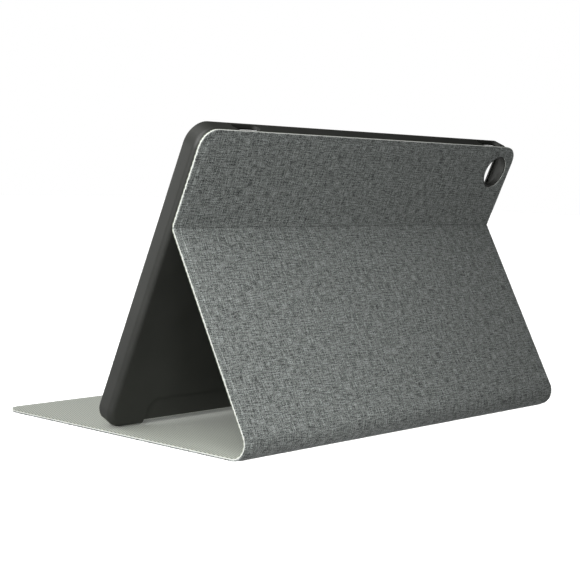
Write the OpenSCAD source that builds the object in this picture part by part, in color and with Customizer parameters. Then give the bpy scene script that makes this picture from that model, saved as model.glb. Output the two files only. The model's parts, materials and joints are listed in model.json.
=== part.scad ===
// Folding stand case for a tablet: a moulded tray glued to a book cover whose back
// panel creases across, so that the case stands open as a tent on its front cover.
// X runs along the long side, Y from the spine to the free edge of the front cover, Z up.
// The origin is the centre of the space the case stands on.

/* [Tray] */
// Outside length of the tray, along the tablet's long side
tray_w = 254; // [210:1:310]
// Outside height of the tray, along the tablet's short side
tray_h = 159; // [132:1:190]
// Outside depth of the tray, from its back to the rim round the screen
tray_d = 9.2; // [7.7:0.1:11.5]
// Radius of the tray's four corners, seen from the front
tray_corner_r = 11; // [9:0.5:14]
// Thickness of the side walls
tray_wall = 1.7; // [1.4:0.1:2.2]
// Thickness of the back
tray_back = 1.4; // [1.2:0.1:1.8]
// How far the retaining rim reaches in over the edge of the screen
rim_reach = 1.2; // [0.8:0.1:1.8]
// Thickness of the retaining rim
rim_t = 0.9; // [0.7:0.1:1.2]
// Rounding of the rim's outer edge
rim_r = 0.6; // [0.4:0.1:0.8]

/* [Tray corners and openings] */
// How far the two lower corner bumpers stand out from the bottom wall
bumper_proud = 2.9; // [2.4:0.1:3.4]
// Width of each bumper, from the side of the tray
bumper_w = 24; // [20:1:29]
// Height of the shallow band between the bumpers that takes the folded spine
band_h = 15.5; // [12:0.5:19]
// Depth of that band
band_deep = 0.8; // [0.6:0.05:0.9]
// Corner radius of that band
band_r = 6; // [5:0.5:7]
// Height of every opening in the walls, measured through the tray's depth
slot_h = 5.8; // [5.6:0.1:6]
// Length of the opening for the lock key, in the top wall
key_slot_len = 17.5; // [14:0.5:21]
// Distance from the tray's left side to the middle of that opening
key_slot_at = 32; // [26:1:39]
// Length of the opening for the volume key, in the top wall
volume_slot_len = 20; // [16:0.5:24]
// Distance from the tray's right side to the middle of that opening
volume_slot_at = 22; // [22:1:27]
// Length of the opening for the charging socket, in the right wall
port_slot_len = 14; // [11:0.5:17]
// Length of each opening for a loudspeaker, in the right wall
speaker_slot_len = 24; // [20:0.5:29]
// Distance from the charging opening to the middle of each loudspeaker opening
speaker_slot_at = 42; // [35:1:50]

/* [Camera opening] */
// Distance from the tray's right side to the middle of the camera opening
camera_side = 13.6; // [13.4:0.1:16]
// Distance from the tray's top to the middle of the camera opening
camera_down = 15.5; // [13.5:0.5:18.5]
// Radius of the bore through the tray
camera_r = 8.6; // [7.2:0.1:8.8]
// Wall of the collar round the bore
collar_wall = 0.9; // [0.8:0.1:1.1]
// Gap between the collar and the cover
collar_gap = 0.3; // [0.25:0.05:0.35]
// How far the collar stays below the cover's outer face
collar_low = 1.0; // [0.8:0.1:1.2]

/* [Cover] */
// How far the cover's side edges lie inside the tray's sides
cover_inset = 0.3; // [0.2:0.1:1.2]
// Thickness of the coated cloth outside
skin_t = 0.5; // [0.4:0.05:0.6]
// Thickness of the white backing that shows at the cut edges
backing_t = 1.0; // [0.9:0.05:1.2]
// Thickness of the lining
lining_t = 0.4; // [0.3:0.05:0.5]
// Thickness of the stiffening boards, sunk in the backing
board_t = 0.7; // [0.55:0.05:0.8]
// Thickness of the glue film between the cover and the tray
glue_t = 0.3; // [0.3:0.05:0.4]
// Corner radius of the panels
panel_corner_r = 9; // [7.5:0.5:11]
// Height of the upper panel, from the crease to the tray's top
upper_len = 48.8; // [40.6:0.1:58.6]
// How much longer the front cover is than the tray is high
front_over = 9.5; // [7.9:0.1:14]
// Width of each of the spine's two strips
spine_len = 4.6; // [4:0.1:5.5]
// Margin between a board and the edge of its panel
board_margin = 3.5; // [3:0.1:4.2]
// Margin between the glue film and the edge of its panel
glue_margin = 5; // [4.2:0.1:6]
// Half of the gap left at each fold
fold_gap = 0.15; // [0.1:0.05:0.2]

/* [Magnets] */
// Radius of each sleep magnet
magnet_r = 5; // [4:0.5:6]
// Distance from the free edge of the front cover to the magnets
magnet_edge = 14; // [12:1:17]
// Distance from the middle of the cover to each magnet
magnet_out = 92; // [77:1:110]
// Gap round each magnet in its board
magnet_gap = 0.1; // [0.05:0.05:0.2]

/* [Standing pose] */
// Slope of the stand panel
stand_angle = 61.5; // [52:0.5:68]
// Turn of the spine at the front cover, and again at the stand panel
spine_turn = 45; // [42:1:50]
// Gap under the tray's lower edge, where it slides along the lining
slide_gap = 0.3; // [0.25:0.05:0.35]

/* [Hidden] */
$fn = 64;

// Each panel is a sandwich. Depths are counted from the panel's outer face.
panel_t = skin_t + backing_t + lining_t;
backing_in = skin_t;
board_in = skin_t + backing_t - board_t;
lining_in = skin_t + backing_t;

// The folds, as points in Y and Z. The front cover lies flat, and its inner face
// ends at front_fold. Two strips climb from there to the stand panel.
function toward(angle) = [cos(angle), sin(angle)];
lower_angle = 180 - spine_turn;
upper_angle = stand_angle + spine_turn;
front_fold = [0, panel_t];
middle_fold = front_fold + spine_len * toward(lower_angle);
stand_fold = middle_fold + spine_len * toward(upper_angle);

// The tray's lower back edge is a quarter round. Its centre is level with the middle
// fold and as far from the crease, so the edge keeps its gap to the lining while the
// stand folds and the crease turns twice as much as the spine's middle fold. The stand
// panel has the length that this takes.
tray_edge_r = spine_len * sin(spine_turn) - slide_gap;
tray_in = panel_t + glue_t;
tray_bottom = upper_len - tray_h;
edge_in = tray_in + tray_edge_r;
edge_down = -tray_bottom - tray_edge_r;
crease_reach = norm([edge_in, edge_down]);
stand_out = spine_len * sin(spine_turn) + panel_t;
stand_len = sqrt(pow(crease_reach, 2) - pow(stand_out, 2)) - spine_len * cos(spine_turn);
// The crease lies on the outer face, because the panels close on that side.
crease = stand_fold + stand_len * toward(stand_angle) + panel_t * toward(stand_angle + 90);
tray_angle = atan2(crease[1] - middle_fold[1], crease[0] - middle_fold[0]) + atan2(edge_in, edge_down);

cover_w = tray_w - 2 * cover_inset;
front_len = tray_h + front_over;

// The outline on the ground runs from the spine's outer corners to the free edge.
spine_corners = [
    front_fold + (spine_len - fold_gap) * toward(lower_angle) + panel_t * toward(lower_angle + 90),
    middle_fold + (spine_len - fold_gap) * toward(upper_angle) + panel_t * toward(upper_angle + 90),
    stand_fold + fold_gap * toward(stand_angle) + panel_t * toward(stand_angle + 90)];
spine_y = min([for (corner = spine_corners) corner[0]]);
middle_y = (spine_y + front_len) / 2;

// The tablet's pocket
pocket_w = tray_w - 2 * tray_wall;
pocket_h = tray_h - 2 * tray_wall - bumper_proud;
pocket_r = tray_corner_r - tray_wall;
pocket_up = tray_wall + bumper_proud;

camera_x = tray_w / 2 - camera_side;
collar_r = camera_r + collar_wall;
cover_hole_r = collar_r + collar_gap;
collar_h = tray_in - collar_low;
board_hole_r = cover_hole_r + board_margin;

// Overrun of a cut, so that it passes clean through
cut = 1;

// Frames. In each, X runs along the spine, Y from the outer face inward, Z along the panel.
module at_fold(fold, angle) {
    translate([0, fold[0] - middle_y, fold[1]]) rotate([angle - 90, 0, 0]) children();
}
module stand_frame() at_fold(stand_fold, stand_angle) translate([0, -panel_t, 0]) children();
module upper_strip_frame() at_fold(middle_fold, upper_angle) translate([0, -panel_t, 0]) children();
module lower_strip_frame() at_fold(front_fold, lower_angle) translate([0, -panel_t, 0]) children();
module upper_frame() at_fold(crease, 180 - tray_angle) children();
// The front cover lies outer face down, with its length along +Y.
module front_frame() translate([0, -middle_y, 0]) mirror([0, 1, 0]) rotate([90, 0, 0]) children();

// A layer of a panel, from one depth to another, with the outline given in X and Z
module layer(from, to) {
    translate([0, to, 0]) rotate([90, 0, 0]) linear_extrude(to - from) children();
}

// A panel's outline from its fold at 0 to its far edge, with two rounded far corners
module panel_outline(width, length, r, start) {
    translate([-width / 2, start]) square([width, length - start - r]);
    translate([r - width / 2, start]) square([width - 2 * r, length - start]);
    for (side = [-1, 1]) translate([side * (width / 2 - r), length - r]) circle(r);
}

module strip_outline(width, length, margin) {
    translate([-width / 2, margin]) square([width, length - 2 * margin]);
}

module camera_hole(r) {
    translate([camera_x, upper_len - camera_down]) circle(r);
}

// A slot with round ends, along its first direction
module slot(length, width) {
    square([length - width, width], center = true);
    for (side = [-1, 1]) translate([side * (length - width) / 2, 0]) circle(width / 2);
}

// A pan's edge in section: its back edge is rounded by back_r, its front edge by front_r
module pan_section(reach, depth, back_r, front_r) {
    translate([0, back_r]) square([reach, depth - back_r - front_r]);
    square([reach - back_r, depth / 2]);
    translate([0, depth / 2]) square([reach - front_r, depth / 2]);
    translate([reach - back_r, back_r]) circle(back_r);
    translate([reach - front_r, depth - front_r]) circle(front_r);
}

// A solid pan lying on its back: a rounded rectangle with rounded edges
module pan(width, height, depth, corner_r, back_r, front_r) {
    flat_x = width / 2 - corner_r;
    flat_y = height / 2 - corner_r;
    translate([-flat_x, -flat_y, 0]) cube([2 * flat_x, 2 * flat_y, depth]);
    for (side = [0, 1]) rotate([0, 0, 180 * side]) {
        translate([flat_x, flat_y, 0]) rotate([90, 0, 0])
            linear_extrude(2 * flat_y) pan_section(corner_r, depth, back_r, front_r);
        translate([-flat_x, flat_y, 0]) rotate([90, 0, 90])
            linear_extrude(2 * flat_x) pan_section(corner_r, depth, back_r, front_r);
        translate([flat_x, flat_y, 0])
            rotate_extrude(angle = 90) pan_section(corner_r, depth, back_r, front_r);
        translate([flat_x, -flat_y, 0]) rotate([0, 0, -90])
            rotate_extrude(angle = 90) pan_section(corner_r, depth, back_r, front_r);
    }
}

// The tray's own frame: X along it, Y up from its bottom edge, Z from its back to the rim
module tray_frame() {
    upper_frame() translate([0, tray_in, tray_bottom]) mirror([0, 1, 0]) rotate([90, 0, 0]) children();
}

// A straight-sided pocket with round corners
module pocket(width, height, r, from, to) {
    translate([0, 0, from]) linear_extrude(to - from) {
        square([width - 2 * r, height], center = true);
        square([width, height - 2 * r], center = true);
        for (x = [-1, 1], y = [-1, 1])
            translate([x * (width / 2 - r), y * (height / 2 - r)]) circle(r);
    }
}

// The wall openings start at the tablet's back and go through one wall.
module top_slot(x, length) {
    translate([x, tray_h + cut, tray_back + slot_h / 2]) rotate([90, 0, 0])
        linear_extrude(tray_wall + 2 * cut) slot(length, slot_h);
}
module right_slot(up, length) {
    translate([tray_w / 2 - tray_wall - cut, up, tray_back + slot_h / 2]) rotate([90, 0, 90])
        linear_extrude(tray_wall + 2 * cut) slot(length, slot_h);
}

// The room for the folded spine: the bottom wall and a band of the back are set in
// between the two bumpers.
module spine_room() {
    room_w = tray_w - 2 * bumper_w;
    translate([-room_w / 2, -cut, -cut]) cube([room_w, bumper_proud + cut, tray_d + 2 * cut]);
    translate([0, 0, -cut]) linear_extrude(band_deep + cut) {
        translate([-room_w / 2, -cut]) square([room_w, band_h - band_r + cut]);
        translate([band_r - room_w / 2, -cut]) square([room_w - 2 * band_r, band_h + cut]);
        for (side = [-1, 1]) translate([side * (room_w / 2 - band_r), band_h - band_r]) circle(band_r);
    }
}

module tray() {
    color("#26282a") tray_frame() difference() {
        union() {
            translate([0, tray_h / 2, 0])
                pan(tray_w, tray_h, tray_d, tray_corner_r, tray_edge_r, rim_r);
            translate([camera_x, tray_h - camera_down, -collar_h]) cylinder(h = collar_h + tray_back, r = collar_r);
        }
        translate([0, pocket_up + pocket_h / 2, 0]) {
            pocket(pocket_w, pocket_h, pocket_r, tray_back, tray_d - rim_t);
            pocket(pocket_w - 2 * rim_reach, pocket_h - 2 * rim_reach, pocket_r - rim_reach,
                tray_d - rim_t - cut, tray_d + cut);
        }
        translate([camera_x, tray_h - camera_down, -collar_h - cut])
            cylinder(h = collar_h + tray_back + 2 * cut, r = camera_r);
        top_slot(key_slot_at - tray_w / 2, key_slot_len);
        top_slot(tray_w / 2 - volume_slot_at, volume_slot_len);
        right_slot(tray_h / 2, port_slot_len);
        for (side = [-1, 1]) right_slot(tray_h / 2 + side * speaker_slot_at, speaker_slot_len);
        spine_room();
    }
}

module glue_film() {
    color("#8d8a80") upper_frame() layer(panel_t, tray_in) difference() {
        panel_outline(cover_w - 2 * glue_margin, upper_len - glue_margin, panel_corner_r, glue_margin);
        camera_hole(board_hole_r);
    }
}

// The upper panel carries the camera opening.
module upper_outline() {
    difference() {
        panel_outline(cover_w, upper_len, panel_corner_r, fold_gap);
        camera_hole(cover_hole_r);
    }
}
module upper_board_outline() {
    difference() {
        panel_outline(cover_w - 2 * board_margin, upper_len - board_margin,
            panel_corner_r - board_margin, board_margin);
        camera_hole(board_hole_r);
    }
}
module upper_skin() color("#5b605d") upper_frame() layer(0, backing_in) upper_outline();
module upper_backing() {
    color("#e6e7e2") upper_frame() difference() {
        layer(backing_in, lining_in) upper_outline();
        layer(board_in, lining_in + cut) upper_board_outline();
    }
}
module upper_board() color("#b8a98c") upper_frame() layer(board_in, lining_in) upper_board_outline();
module upper_lining() color("#a3a9a0") upper_frame() layer(lining_in, panel_t) upper_outline();

module stand_outline() strip_outline(cover_w, stand_len, fold_gap);
module stand_board_outline() strip_outline(cover_w - 2 * board_margin, stand_len, board_margin);
module stand_skin() color("#6a6f6c") stand_frame() layer(0, backing_in) stand_outline();
module stand_backing() {
    color("#e6e7e2") stand_frame() difference() {
        layer(backing_in, lining_in) stand_outline();
        layer(board_in, lining_in + cut) stand_board_outline();
    }
}
module stand_board() color("#b8a98c") stand_frame() layer(board_in, lining_in) stand_board_outline();
module stand_lining() color("#a3a9a0") stand_frame() layer(lining_in, panel_t) stand_outline();

// The spine has no board. It is two strips of skin, backing and lining.
module spine_layer(from, to) layer(from, to) strip_outline(cover_w, spine_len, fold_gap);
module spine_upper_skin() color("#6a6f6c") upper_strip_frame() spine_layer(0, backing_in);
module spine_upper_backing() color("#e6e7e2") upper_strip_frame() spine_layer(backing_in, lining_in);
module spine_upper_lining() color("#a3a9a0") upper_strip_frame() spine_layer(lining_in, panel_t);
module spine_lower_skin() color("#6a6f6c") lower_strip_frame() spine_layer(0, backing_in);
module spine_lower_backing() color("#e6e7e2") lower_strip_frame() spine_layer(backing_in, lining_in);
module spine_lower_lining() color("#a3a9a0") lower_strip_frame() spine_layer(lining_in, panel_t);

module front_outline() panel_outline(cover_w, front_len, panel_corner_r, fold_gap);
module front_board_pocket() {
    panel_outline(cover_w - 2 * board_margin, front_len - board_margin,
        panel_corner_r - board_margin, board_margin);
}
module magnet_circles(r) {
    for (side = [-1, 1]) translate([side * magnet_out, front_len - magnet_edge]) circle(r);
}
module front_skin() color("#6a6f6c") front_frame() layer(0, backing_in) front_outline();
module front_backing() {
    color("#e6e7e2") front_frame() difference() {
        layer(backing_in, lining_in) front_outline();
        layer(board_in, lining_in + cut) front_board_pocket();
    }
}
module front_board() {
    color("#b8a98c") front_frame() layer(board_in, lining_in) difference() {
        front_board_pocket();
        magnet_circles(magnet_r + magnet_gap);
    }
}
module front_lining() color("#a3a9a0") front_frame() layer(lining_in, panel_t) front_outline();
module sleep_magnets() color("silver") front_frame() layer(board_in, lining_in) magnet_circles(magnet_r);

tray();
glue_film();
upper_skin();
upper_backing();
upper_board();
upper_lining();
stand_skin();
stand_backing();
stand_board();
stand_lining();
spine_upper_skin();
spine_upper_backing();
spine_upper_lining();
spine_lower_skin();
spine_lower_backing();
spine_lower_lining();
front_skin();
front_backing();
front_board();
front_lining();
sleep_magnets();
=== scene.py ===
"""A folding tablet case, standing open: a moulded tray glued to a cloth-covered book cover.

The cover is one sandwich of coated cloth, white backing and lining. It runs from the free
edge of the front cover, round the spine, up the stand panel and over the crease to the top
of the tray. It is made here as one smooth curve in Y and Z, split where the joints need it.
Lengths are in millimetres until a mesh is made.
"""

import json
import math

import bmesh
import bpy
from mathutils import Matrix, Vector


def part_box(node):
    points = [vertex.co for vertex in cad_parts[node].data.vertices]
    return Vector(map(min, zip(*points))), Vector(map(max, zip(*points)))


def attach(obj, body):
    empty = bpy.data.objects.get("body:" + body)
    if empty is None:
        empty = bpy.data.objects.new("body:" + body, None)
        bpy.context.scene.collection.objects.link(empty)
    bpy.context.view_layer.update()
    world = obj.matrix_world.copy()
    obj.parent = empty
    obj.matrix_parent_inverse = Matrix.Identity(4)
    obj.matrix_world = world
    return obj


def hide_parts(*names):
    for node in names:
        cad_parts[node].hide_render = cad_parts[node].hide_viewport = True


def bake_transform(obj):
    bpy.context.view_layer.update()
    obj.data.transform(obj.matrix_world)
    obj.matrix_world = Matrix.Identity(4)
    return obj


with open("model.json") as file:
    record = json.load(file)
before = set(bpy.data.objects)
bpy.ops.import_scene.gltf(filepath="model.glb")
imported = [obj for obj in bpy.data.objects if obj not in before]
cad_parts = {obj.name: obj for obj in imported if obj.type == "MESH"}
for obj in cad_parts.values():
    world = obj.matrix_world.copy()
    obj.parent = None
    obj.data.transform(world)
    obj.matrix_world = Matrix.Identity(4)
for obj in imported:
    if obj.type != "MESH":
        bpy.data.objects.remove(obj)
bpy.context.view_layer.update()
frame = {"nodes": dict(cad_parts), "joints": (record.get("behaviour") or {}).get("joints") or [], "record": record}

MM = 0.001
FOLDS = {j["name"]: Vector(j["pos_m"]) / MM for j in frame["joints"]}
MOUNTS = {m["name"]: m for m in frame["record"]["mounts"]}

# The cover's layers, from the outside in
CLOTH_T = 0.5
BACKING_T = 1.0
LINING_T = 0.4
COVER_T = CLOTH_T + BACKING_T + LINING_T
COVER_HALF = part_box("front_skin")[1].x / MM
CORNER_R = 9.0
UPPER_LEN = 48.8

# Boards stop short of every edge, and the press leaves the cloth lower there.
PRESSED_W = 3.4
PRESSED_STEP = 1.0
PRESSED_OUTSIDE = 0.28
PRESSED_INSIDE = 0.08

# The cutter pulls the cloth's two faces down beside a cut edge.
ROLLED_W = 0.35
ROLLED_OUTSIDE = 0.05
ROLLED_INSIDE = 0.12

# The crease bends round CREASE_R, with a groove pressed along its middle.
CREASE_R = 3.8
GROOVE_W = 0.8
GROOVE_DEEP = 0.55
BEND_STEP = 3.0     # degrees between two stations of a bend

CAMERA_HOLE_R = 9.8

# Steps of the mesh: along a flat panel, and finer near the crease and the camera hole
PANEL_STEP = 8.0
FLEX_LEN = 3.0
FLEX_STEP = 1.5
TOP_STEP = 1.3
CAMERA_STEP = 1.4
CAMERA_COLUMNS = 14

HOLE_SIDES = 96
CUTTER_LEN = 20.0

SHARP_ANGLE = math.radians(35)
TRAY_EDGE_R = 0.5
WELD = 0.002                    # corners of the CAD mesh this close become one
FLAT_ANGLE = math.radians(0.3)  # faces of the CAD mesh this nearly in line become one


# ---------------------------------------------------------------- nodes and colours

def srgb(code):
    """The linear colour of an sRGB hex code."""
    parts = [int(code[i:i + 2], 16) / 255 for i in (1, 3, 5)]
    return [c / 12.92 if c <= 0.04045 else ((c + 0.055) / 1.055) ** 2.4 for c in parts] + [1.0]


def add(tree, kind, settings, inputs):
    """Adds a node. An input is a number, a colour, or the node or socket that feeds it."""
    made = tree.nodes.new("ShaderNode" + kind)
    for name, value in settings.items():
        setattr(made, name, value)
    feed(tree, made, inputs)
    return made


def feed(tree, made, inputs):
    for name, value in inputs.items():
        if isinstance(value, bpy.types.Node):
            value = value.outputs[0]
        if isinstance(value, bpy.types.NodeSocket):
            tree.links.new(value, made.inputs[name])
        else:
            made.inputs[name].default_value = value


def material(name, look, **sockets):
    """look(tree) gives the linked sockets; the shader's constants are set directly."""
    made = bpy.data.materials.new(name)
    made.use_nodes = True
    tree = made.node_tree
    shader = tree.nodes["Principled BSDF"]
    feed(tree, shader, {k.replace("_", " "): v for k, v in sockets.items()})
    feed(tree, shader, look(tree))
    return made


def ramp(tree, value, dark, light, low=0.3, high=0.7):
    """A colour between two, as value goes from low to high."""
    share = add(tree, "MapRange", {}, {"Value": value, "From Min": low, "From Max": high})
    return add(tree, "Mix", {"data_type": "RGBA"}, {0: share, 6: srgb(dark), 7: srgb(light)}).outputs[2]


def sheet_place(tree, across, along):
    """The place on the cover in millimetres, with each direction divided by a length."""
    return add(tree, "Mapping", {}, {
        "Vector": add(tree, "UVMap", {}, {}), "Scale": (1 / across, 1 / along, 1)})


# ---------------------------------------------------------------- materials
# Each length in a noise is the size of the real grain, fibre or stain in millimetres.

THREAD = 0.6    # a real thread is 0.45 mm; drawn wider so that the weave shows
SLUB = 5.0      # length over which a melange thread keeps its tone
FLECK = 0.5     # a fleck of lighter or darker fibre in the yarn


def melange(tree):
    place = sheet_place(tree, THREAD, THREAD)
    warp, weft = [
        add(tree, "TexNoise", {}, {"Vector": sheet_place(tree, *size), "Scale": 1.0, "Detail": 1.0})
        for size in ((THREAD, SLUB), (SLUB, THREAD))]
    over = add(tree, "TexChecker", {}, {"Vector": place, "Scale": 1.0}).outputs[1]
    tone = add(tree, "Mix", {}, {0: add(tree, "MapRange", {}, {
        "Value": over, "To Min": 0.3, "To Max": 0.7}), 2: warp, 3: weft})
    speck = add(tree, "TexNoise", {}, {
        "Vector": sheet_place(tree, FLECK, FLECK), "Scale": 1.0, "Detail": 0.0})
    tone = add(tree, "Mix", {}, {0: 0.35, 2: tone, 3: speck})
    colour = ramp(tree, tone, "#222625", "#acb2ae", 0.395, 0.665)
    split = add(tree, "SeparateXYZ", {}, {0: place})
    crowns = [
        add(tree, "Math", {"operation": "SINE"}, {
            0: add(tree, "Math", {"operation": "MULTIPLY"}, {0: split.outputs[axis], 1: math.pi})})
        for axis in (0, 1)]
    height = add(tree, "Math", {"operation": "ABSOLUTE"}, {
        0: add(tree, "Mix", {}, {0: over, 2: crowns[0], 3: crowns[1]})})
    height = add(tree, "Math", {"operation": "ADD"}, {0: height, 1: tone})
    bump = add(tree, "Bump", {}, {"Height": height, "Strength": 0.35, "Distance": 0.15 * MM})
    return {"Base Color": colour, "Normal": bump}


# Polyester melange, plain woven and coated: a matt grey of light and dark threads.
melange_cloth = material(
    "polyester_melange_woven_and_coated", melange,
    Roughness=0.82, IOR=1.5, Sheen_Weight=0.15, Sheen_Roughness=0.5)


def felt(tree):
    fibres = add(tree, "TexNoise", {}, {
        "Vector": sheet_place(tree, 0.5, 0.5), "Scale": 1.0, "Detail": 3.0})
    bump = add(tree, "Bump", {}, {"Height": fibres, "Strength": 0.4, "Distance": 0.1 * MM})
    return {"Base Color": ramp(tree, fibres, "#cdd0ca", "#e4e6e0"), "Normal": bump}


# White nonwoven polyester, die-cut through: its raw edge is the thin white outline.
white_felt = material(
    "polyester_nonwoven_die_cut", felt, Roughness=0.95, IOR=1.45, Sheen_Weight=0.2)

TWILL = 1.4     # a real rib is 0.6 mm; drawn wider so that it shows


def twill(tree):
    place = sheet_place(tree, TWILL, TWILL)
    split = add(tree, "SeparateXYZ", {}, {0: place})
    slant = add(tree, "Math", {"operation": "MULTIPLY_ADD"}, {
        0: split.outputs[1], 1: 0.5, 2: split.outputs[0]})
    rib = add(tree, "Math", {"operation": "SINE"}, {
        0: add(tree, "Math", {"operation": "MULTIPLY"}, {0: slant, 1: 2 * math.pi})})
    nap = add(tree, "TexNoise", {}, {
        "Vector": sheet_place(tree, 0.8, 0.8), "Scale": 1.0, "Detail": 2.0})
    tone = add(tree, "MapRange", {}, {"Value": rib, "From Min": -1.0, "From Max": 1.0})
    tone = add(tree, "Mix", {}, {0: 0.5, 2: tone, 3: nap})
    bump = add(tree, "Bump", {}, {"Height": tone, "Strength": 0.3, "Distance": 0.12 * MM})
    return {"Base Color": ramp(tree, tone, "#676e64", "#abb0a0", 0.25, 0.75), "Normal": bump}


# Microfibre, brushed after weaving in a fine twill: soft, pale grey-green and matt.
microfibre = material(
    "microfibre_twill_brushed", twill, Roughness=0.9, IOR=1.45, Sheen_Weight=0.3)


def spark_grain(tree):
    place = add(tree, "TexCoord", {}, {}).outputs["Object"]
    grain, cloud = [
        add(tree, "TexNoise", {}, {"Vector": place, "Scale": 1 / (size * MM), "Detail": 2.0})
        for size in (0.35, 18)]
    bump = add(tree, "Bump", {}, {"Height": grain, "Strength": 0.12, "Distance": 0.05 * MM})
    rough = add(tree, "MapRange", {}, {"Value": cloud, "To Min": 0.46, "To Max": 0.58})
    return {"Base Color": ramp(tree, cloud, "#2e2f2c", "#333431"), "Normal": bump, "Roughness": rough}


# Thermoplastic polyurethane, injection moulded against a spark-eroded tool: black,
# matt, with a broad soft sheen on its round edges.
moulded_tpu = material("polyurethane_moulded_matt", spark_grain, IOR=1.5)


def pulp(tree):
    place = add(tree, "TexCoord", {}, {}).outputs["Object"]
    fibres = add(tree, "TexNoise", {}, {"Vector": place, "Scale": 1 / (0.9 * MM), "Detail": 4.0})
    return {"Base Color": ramp(tree, fibres, "#a3947a", "#c3b598")}


# Greyboard, pressed from pulp: brown-grey and flecked.
greyboard = material("greyboard_pressed", pulp, Roughness=0.9, IOR=1.45)


def glue_streaks(tree):
    place = add(tree, "TexCoord", {}, {}).outputs["Object"]
    streaks = add(tree, "TexNoise", {}, {"Vector": place, "Scale": 1 / (6 * MM), "Detail": 3.0})
    rough = add(tree, "MapRange", {}, {"Value": streaks, "To Min": 0.25, "To Max": 0.5})
    return {"Base Color": ramp(tree, streaks, "#7f7c72", "#96938a"), "Roughness": rough}


# Hot-melt adhesive, rolled out thin: cloudy and half glossy.
hot_melt = material("hot_melt_adhesive_rolled", glue_streaks, IOR=1.5)


def plating(tree):
    place = add(tree, "TexCoord", {}, {}).outputs["Object"]
    turns = add(tree, "TexNoise", {}, {"Vector": place, "Scale": 1 / (0.5 * MM), "Detail": 2.0})
    rough = add(tree, "MapRange", {}, {"Value": turns, "To Min": 0.2, "To Max": 0.35})
    return {"Base Color": ramp(tree, turns, "#b9b8b4", "#cfcdc8"), "Roughness": rough}


# Sintered magnet, nickel plated: a warm silver metal.
nickel = material("sintered_magnet_nickel_plated", plating, Metallic=1.0)


def rolled_paint(tree):
    place = add(tree, "TexCoord", {}, {}).outputs["Object"]
    stipple = add(tree, "TexNoise", {}, {"Vector": place, "Scale": 1 / (2.5 * MM), "Detail": 2.0})
    return {"Base Color": ramp(tree, stipple, "#ebebeb", "#efefef")}


# The studio floor, rolled with matt white paint.
white_floor = material("studio_floor_painted_white", rolled_paint, Roughness=0.9)


# ---------------------------------------------------------------- the cover's curve

def toward(heading):
    """The unit vector in the Y-Z plane at that heading in degrees."""
    return Vector((0, math.cos(math.radians(heading)), math.sin(math.radians(heading))))


def heading_of(v):
    return math.degrees(math.atan2(v.z, v.y))


front_fold, middle_fold, stand_fold, crease = (
    FOLDS[name] for name in ("cover_open", "spine_middle", "stand_open", "crease_fold"))
strip = (middle_fold - front_fold).length
lower_heading = heading_of(middle_fold - front_fold)
upper_heading = heading_of(stand_fold - middle_fold)
reach = crease - stand_fold
stand_heading = heading_of(reach) - math.degrees(math.asin(COVER_T / reach.length))
tray_in = Vector(MOUNTS["camera_bore"]["axis"])     # from the tray's back to the screen
tray_heading = heading_of(tray_in) + 90


def half_tan(turn):
    return math.tan(math.radians(abs(turn)) / 2)


# The three folds of the spine become one round bend that touches the same faces.
spine_r = strip / (half_tan(180 - lower_heading) + half_tan(lower_heading - upper_heading))
spine_start = spine_r * half_tan(180 - lower_heading)
middle_start = strip - spine_start
spine_end = spine_r * half_tan(upper_heading - stand_heading)
crease_start = CREASE_R * half_tan(tray_heading - stand_heading)

# Steps in from an edge: close together where the edge is round and pressed
EDGE_STEPS = (0, 0.2, 0.5, 1.2, 2.0, 2.7, 3.05, 3.4, 3.75, 4.1, 4.9, 6.2, 9.0)


def cover_stations():
    """Stations along the inner face as (length run, place, heading), and marks by name."""
    place = Vector((0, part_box("front_skin")[1].y / MM, COVER_T))
    state = {"run": 0.0, "place": place, "heading": 180.0}
    stations, marks = [], {}

    def note(name=None):
        if name:
            marks[name] = len(stations) - 1
        else:
            stations.append((state["run"], state["place"].copy(), state["heading"]))

    def go(steps):
        """Goes straight on, with a station after each step."""
        for step in steps:
            state["place"] = state["place"] + toward(state["heading"]) * step
            state["run"] += step
            note()

    def even(length, step):
        count = max(1, round(length / step))
        go([length / count] * count)

    def bend(to, inner_r):
        """Turns to a heading. inner_r is negative where the bend's middle is outside."""
        out = toward(state["heading"] + 90)
        middle = state["place"] - out * inner_r
        turn = to - state["heading"]
        count = max(2, math.ceil(abs(turn) / BEND_STEP))
        for _ in range(count):
            state["heading"] += turn / count
            state["place"] = middle + toward(state["heading"] + 90) * inner_r
            state["run"] += math.radians(abs(turn) / count) * abs(inner_r + COVER_T / 2)
            note()

    note()
    go([b - a for a, b in zip(EDGE_STEPS, EDGE_STEPS[1:])])
    even(place.y - front_fold.y - spine_start - EDGE_STEPS[-1], PANEL_STEP)
    bend(lower_heading, spine_r)
    note("lower_end")
    bend(upper_heading, spine_r)
    note("upper_end")
    bend(stand_heading, spine_r)
    stand_run = math.sqrt(reach.length ** 2 - COVER_T ** 2) - spine_end - crease_start
    even(stand_run - FLEX_LEN, PANEL_STEP)
    note("stand_end")
    even(FLEX_LEN, FLEX_STEP)
    note("crease_start")
    bend(tray_heading, -(CREASE_R + COVER_T))
    note("crease_end")
    even(UPPER_LEN - crease_start - EDGE_STEPS[-1], TOP_STEP)
    go([b - a for a, b in zip(EDGE_STEPS, EDGE_STEPS[1:])][::-1])
    note("top")
    return stations, marks


stations, marks = cover_stations()
COVER_LEN = stations[-1][0]
CREASE_RUN = (stations[marks["crease_start"]][0] + stations[marks["crease_end"]][0]) / 2
camera_side = MOUNTS["camera_bore"]["pos_m"][0] / MM
camera_run = COVER_LEN - (UPPER_LEN - (Vector(MOUNTS["camera_bore"]["pos_m"]) / MM - crease).dot(
    toward(tray_heading)))


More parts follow.
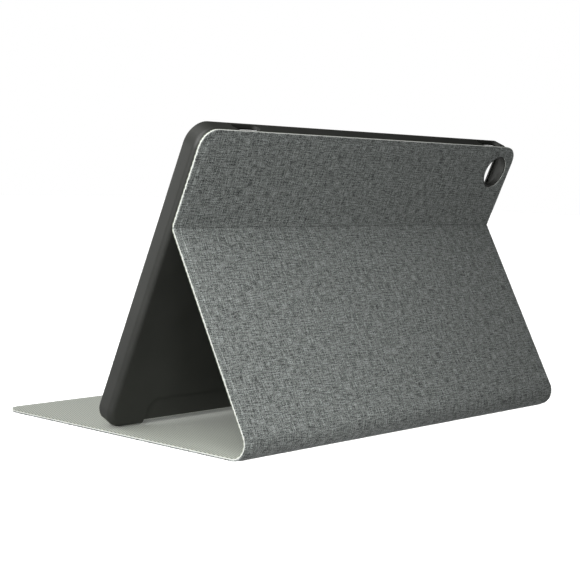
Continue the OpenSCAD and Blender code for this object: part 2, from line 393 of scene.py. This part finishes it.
def edge_distance(x, run):
    """How far a place on the cover lies inside its outline or its camera hole."""
    flat_x, flat_y = COVER_HALF - CORNER_R, COVER_LEN / 2 - CORNER_R
    over = Vector((abs(x) - flat_x, abs(run - COVER_LEN / 2) - flat_y))
    inside = min(max(over.x, over.y), 0) + math.hypot(max(over.x, 0), max(over.y, 0))
    hole = math.hypot(x - camera_side, run - camera_run) - CAMERA_HOLE_R
    return min(CORNER_R - inside, max(hole, 0))


def smooth(value):
    value = min(max(value, 0), 1)
    return value * value * (3 - 2 * value)


def pressed(x, run):
    """From 0 over the boards to 1 beside an edge."""
    return 1 - smooth((edge_distance(x, run) - PRESSED_W) / PRESSED_STEP + 0.5)


def rolled(x, run):
    """From 0 to 1 beside a cut edge."""
    return 1 - smooth(edge_distance(x, run) / ROLLED_W)


def half_width(run):
    """Half of the cover's width there, less at its rounded corners."""
    short = CORNER_R - min(run, COVER_LEN - run)
    return COVER_HALF - (CORNER_R - math.sqrt(CORNER_R ** 2 - short ** 2) if short > 0 else 0)


def columns(run):
    """Places across the cover, at the same steps from the edge in every row."""
    half = half_width(run)
    near = [half - step for step in EDGE_STEPS]
    camera = [COVER_HALF - EDGE_STEPS[-1] - CAMERA_STEP * i for i in range(1, CAMERA_COLUMNS + 1)]
    inner = camera[-1] * half / COVER_HALF
    spread = [inner * (1 - i / CAMERA_COLUMNS) for i in range(1, 2 * CAMERA_COLUMNS)]
    right = near + [c * half / COVER_HALF for c in camera]
    return [-x for x in near] + spread[::-1] + right[::-1]


def creased(run):
    """From 0 to 1 in the groove along the crease."""
    return 1 - smooth(abs(run - CREASE_RUN) / GROOVE_W)


def face_of_cloth(x, run):
    return (COVER_T - PRESSED_OUTSIDE * pressed(x, run) - ROLLED_OUTSIDE * rolled(x, run)
            - GROOVE_DEEP * creased(run))


def back_of_cloth(x, run):
    return (LINING_T + BACKING_T - PRESSED_OUTSIDE * pressed(x, run)
            - ROLLED_INSIDE * rolled(x, run) - GROOVE_DEEP * creased(run))


def back_of_lining(x, run):
    return LINING_T + PRESSED_INSIDE * pressed(x, run)


def face_of_lining(x, run):
    return PRESSED_INSIDE * pressed(x, run)


def sheet_mesh(name, first, last, outer, inner):
    """A closed layer between two depths, counted outward from the cover's inner face."""
    rows = stations[first:last + 1]
    verts, uvs, faces = [], [], []
    for depth in (outer, inner):
        for run, place, heading in rows:
            out = toward(heading + 90)
            across = columns(run)
            wide = len(across)
            for x in across:
                at = place + out * depth(x, run)
                verts.append((x * MM, at.y * MM, at.z * MM))
                uvs.append((x, run))
    tall, size = len(rows), wide * len(rows)
    for i in range(tall - 1):
        for j in range(wide - 1):
            a = i * wide + j
            b = a + wide
            faces.append((a, a + 1, b + 1, b))
            faces.append((size + a, size + b, size + b + 1, size + a + 1))
    rim = [(0, j) for j in range(wide)] + [(i, wide - 1) for i in range(1, tall)]
    rim += [(tall - 1, j) for j in range(wide - 2, -1, -1)] + [(i, 0) for i in range(tall - 2, 0, -1)]
    loop = [i * wide + j for i, j in rim]
    for a, b in zip(loop, loop[1:] + loop[:1]):
        faces.append((b, a, size + a, size + b))
    mesh = bpy.data.meshes.new(name)
    mesh.from_pydata(verts, [], faces)
    layer = mesh.uv_layers.new(name="UVMap")
    for corner in mesh.loops:
        layer.data[corner.index].uv = uvs[corner.vertex_index]
    made = bpy.data.objects.new(name, mesh)
    bpy.context.scene.collection.objects.link(made)
    return made


def finish_edges(made):
    made.data.shade_smooth()
    made.data.set_sharp_from_angle(angle=SHARP_ANGLE)


def cut_away(made, cutter):
    """Takes the cutter out of a piece and throws the cutter away."""
    step = made.modifiers.new("cut", "BOOLEAN")
    step.operation, step.solver, step.object = "DIFFERENCE", "EXACT", cutter
    bpy.context.view_layer.update()
    result = bpy.data.meshes.new_from_object(made.evaluated_get(bpy.context.evaluated_depsgraph_get()))
    made.modifiers.clear()
    made.data = result
    bpy.data.objects.remove(cutter)


def camera_cutter(radius):
    form = bmesh.new()
    bmesh.ops.create_cone(form, cap_ends=True, segments=HOLE_SIDES, radius1=radius * MM,
                          radius2=radius * MM, depth=CUTTER_LEN * MM)
    turn = tray_in.to_track_quat("Z", "Y").to_matrix().to_4x4()
    form.transform(Matrix.Translation(Vector(MOUNTS["camera_bore"]["pos_m"])) @ turn)
    mesh = bpy.data.meshes.new("cutter")
    form.to_mesh(mesh)
    form.free()
    made = bpy.data.objects.new("cutter", mesh)
    bpy.context.scene.collection.objects.link(made)
    return made


spans = {
    "front": (0, marks["lower_end"]), "spine": (marks["lower_end"], marks["upper_end"]),
    "stand": (marks["upper_end"], marks["stand_end"]), "upper": (marks["stand_end"], marks["top"])}
# The CAD parts that each piece stands for
stands_for = {
    "front": ("front", "spine_lower"), "spine": ("spine_upper",), "stand": ("stand",), "upper": ("upper",)}
layers = {
    "cloth": ("skin", "cloth", melange_cloth, face_of_cloth, back_of_cloth),
    "backing": ("backing", "backing", white_felt, back_of_cloth, back_of_lining),
    "lining": ("lining", "lining", microfibre, back_of_lining, face_of_lining)}

for part, (first, last) in spans.items():
    for layer, (node, slot, finish, outer, inner) in layers.items():
        piece = sheet_mesh(f"{part}_{layer}_sheet", first, last, outer, inner)
        if part == "upper":
            cut_away(piece, camera_cutter(CAMERA_HOLE_R))
        finish_edges(piece)
        piece.data.materials.clear()
        piece.data.materials.append(finish)
        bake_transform(piece)
        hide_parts(*(f"{name}_{node}" for name in stands_for[part]))


# ---------------------------------------------------------------- the tray

def cad_copy(node, name):
    """A welded copy of a CAD node's mesh, with its flat faces merged."""
    form = bmesh.new()
    form.from_mesh(frame["nodes"][node].data)
    bmesh.ops.remove_doubles(form, verts=form.verts, dist=WELD * MM)
    bmesh.ops.dissolve_limit(form, angle_limit=FLAT_ANGLE, verts=form.verts, edges=form.edges)
    mesh = bpy.data.meshes.new(name)
    form.to_mesh(mesh)
    form.free()
    made = bpy.data.objects.new(name, mesh)
    bpy.context.scene.collection.objects.link(made)
    return made


tray = cad_copy("tray", "tray_moulding")
round_off = tray.modifiers.new("moulded edges", "BEVEL")
round_off.width, round_off.segments = TRAY_EDGE_R * MM, 3
round_off.limit_method, round_off.angle_limit = "ANGLE", SHARP_ANGLE
tray.data.shade_smooth()
tray.modifiers.new("even shading", "WEIGHTED_NORMAL")
tray.data.materials.clear()
tray.data.materials.append(moulded_tpu)
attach(tray, "tray_body")
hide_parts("tray")

finishes = {"board": greyboard, "glue": hot_melt, "magnet": nickel}
slots = {s["node"]: s["material_slot"] for s in frame["record"]["subparts"]}
for node, carried in frame["nodes"].items():
    if not carried.hide_render:
        for place in carried.material_slots:
            place.material = finishes[slots[node]]


# ---------------------------------------------------------------- the setting
# Places and sizes are in metres from here on.

FLOOR_HALF = 4.0
FLOOR_DROP = 0.0002     # keeps the floor clear of the cloth that lies on it

form = bmesh.new()
bmesh.ops.create_grid(form, x_segments=2, y_segments=2, size=FLOOR_HALF)
floor_mesh = bpy.data.meshes.new("floor")
form.to_mesh(floor_mesh)
form.free()
floor = bpy.data.objects.new("floor", floor_mesh)
bpy.context.scene.collection.objects.link(floor)
floor.location.z = -FLOOR_DROP
floor_mesh.materials.append(white_floor)
# The room below the horizon stands for the floor's bounce.
floor.visible_diffuse = floor.visible_glossy = False

world = bpy.data.worlds.new("studio")
world.use_nodes = True
tree = world.node_tree
# A dim room above a lit table, behind a white backdrop
height = add(tree, "SeparateXYZ", {}, {0: add(tree, "TexCoord", {}, {}).outputs["Generated"]}).outputs[2]
room = add(tree, "MapRange", {}, {
    "Value": height, "From Min": -0.1, "From Max": 0.1, "To Min": 0.34, "To Max": 0.02})
backdrop = add(tree, "LightPath", {}, {}).outputs["Is Camera Ray"]
feed(tree, tree.nodes["Background"], {
    "Color": (1, 1, 1, 1), "Strength": add(tree, "Mix", {}, {0: backdrop, 2: room, 3: 1.0})})
bpy.context.scene.world = world


def light(name, kind, place, aim, **settings):
    lamp = bpy.data.lights.new(name, kind)
    for setting, value in settings.items():
        setattr(lamp, setting, value)
    made = bpy.data.objects.new(name, lamp)
    made.location = place
    made.rotation_euler = (Vector(aim) - Vector(place)).to_track_quat("-Z", "Y").to_euler()
    bpy.context.scene.collection.objects.link(made)
    return made


# The window lights the cover and looks into the tent, the softbox lights the lining on the
# table, the back light reaches under the tray and the reflector lifts the round spine.
tent = (-0.03, -0.05, 0.06)
light("window", "AREA", (-0.55, -0.26, 0.22), tent, size=0.3, energy=2.7)
light("softbox", "AREA", (-0.40, -0.12, 0.55), tent, size=0.4, energy=2.4)
light("back_light", "AREA", (-0.20, 0.60, 0.15), (-0.03, 0.0, 0.06), size=0.3, energy=2.4)
light("reflector", "AREA", (-0.30, -0.42, 0.03), (-0.06, -0.088, -0.01), size=0.08, energy=0.03,
      spread=math.radians(40))
table_light = light("table_light", "SUN", (0, 0, 2), (0, 0, 0), energy=5.0, use_shadow=False)
only_floor = bpy.data.collections.new("table_light_falls_on")
only_floor.objects.link(floor)
table_light.light_linking.receiver_collection = only_floor

# The camera stands behind the case, on its left, and looks down a little.
LENS = 86.6
YAW, PITCH, ROLL = (math.radians(a) for a in (48.09, 4.81, 1.82))
EYE = Vector((-0.5656, -0.5039, 0.1289))
ahead = Vector((math.sin(YAW) * math.cos(PITCH), math.cos(YAW) * math.cos(PITCH), -math.sin(PITCH)))
level = Vector((math.cos(YAW), -math.sin(YAW), 0))
above = level.cross(ahead)
right = level * math.cos(ROLL) + above * math.sin(ROLL)
up = above * math.cos(ROLL) - level * math.sin(ROLL)
camera = bpy.data.objects.new("camera", bpy.data.cameras.new("camera"))
camera.data.sensor_width = 36.0
camera.data.lens = LENS
camera.matrix_world = Matrix.Translation(EYE) @ Matrix((right, up, -ahead)).transposed().to_4x4()
bpy.context.scene.collection.objects.link(camera)
bpy.context.scene.camera = camera
bpy.context.scene.view_settings.view_transform = "Standard"

bpy.context.view_layer.update()
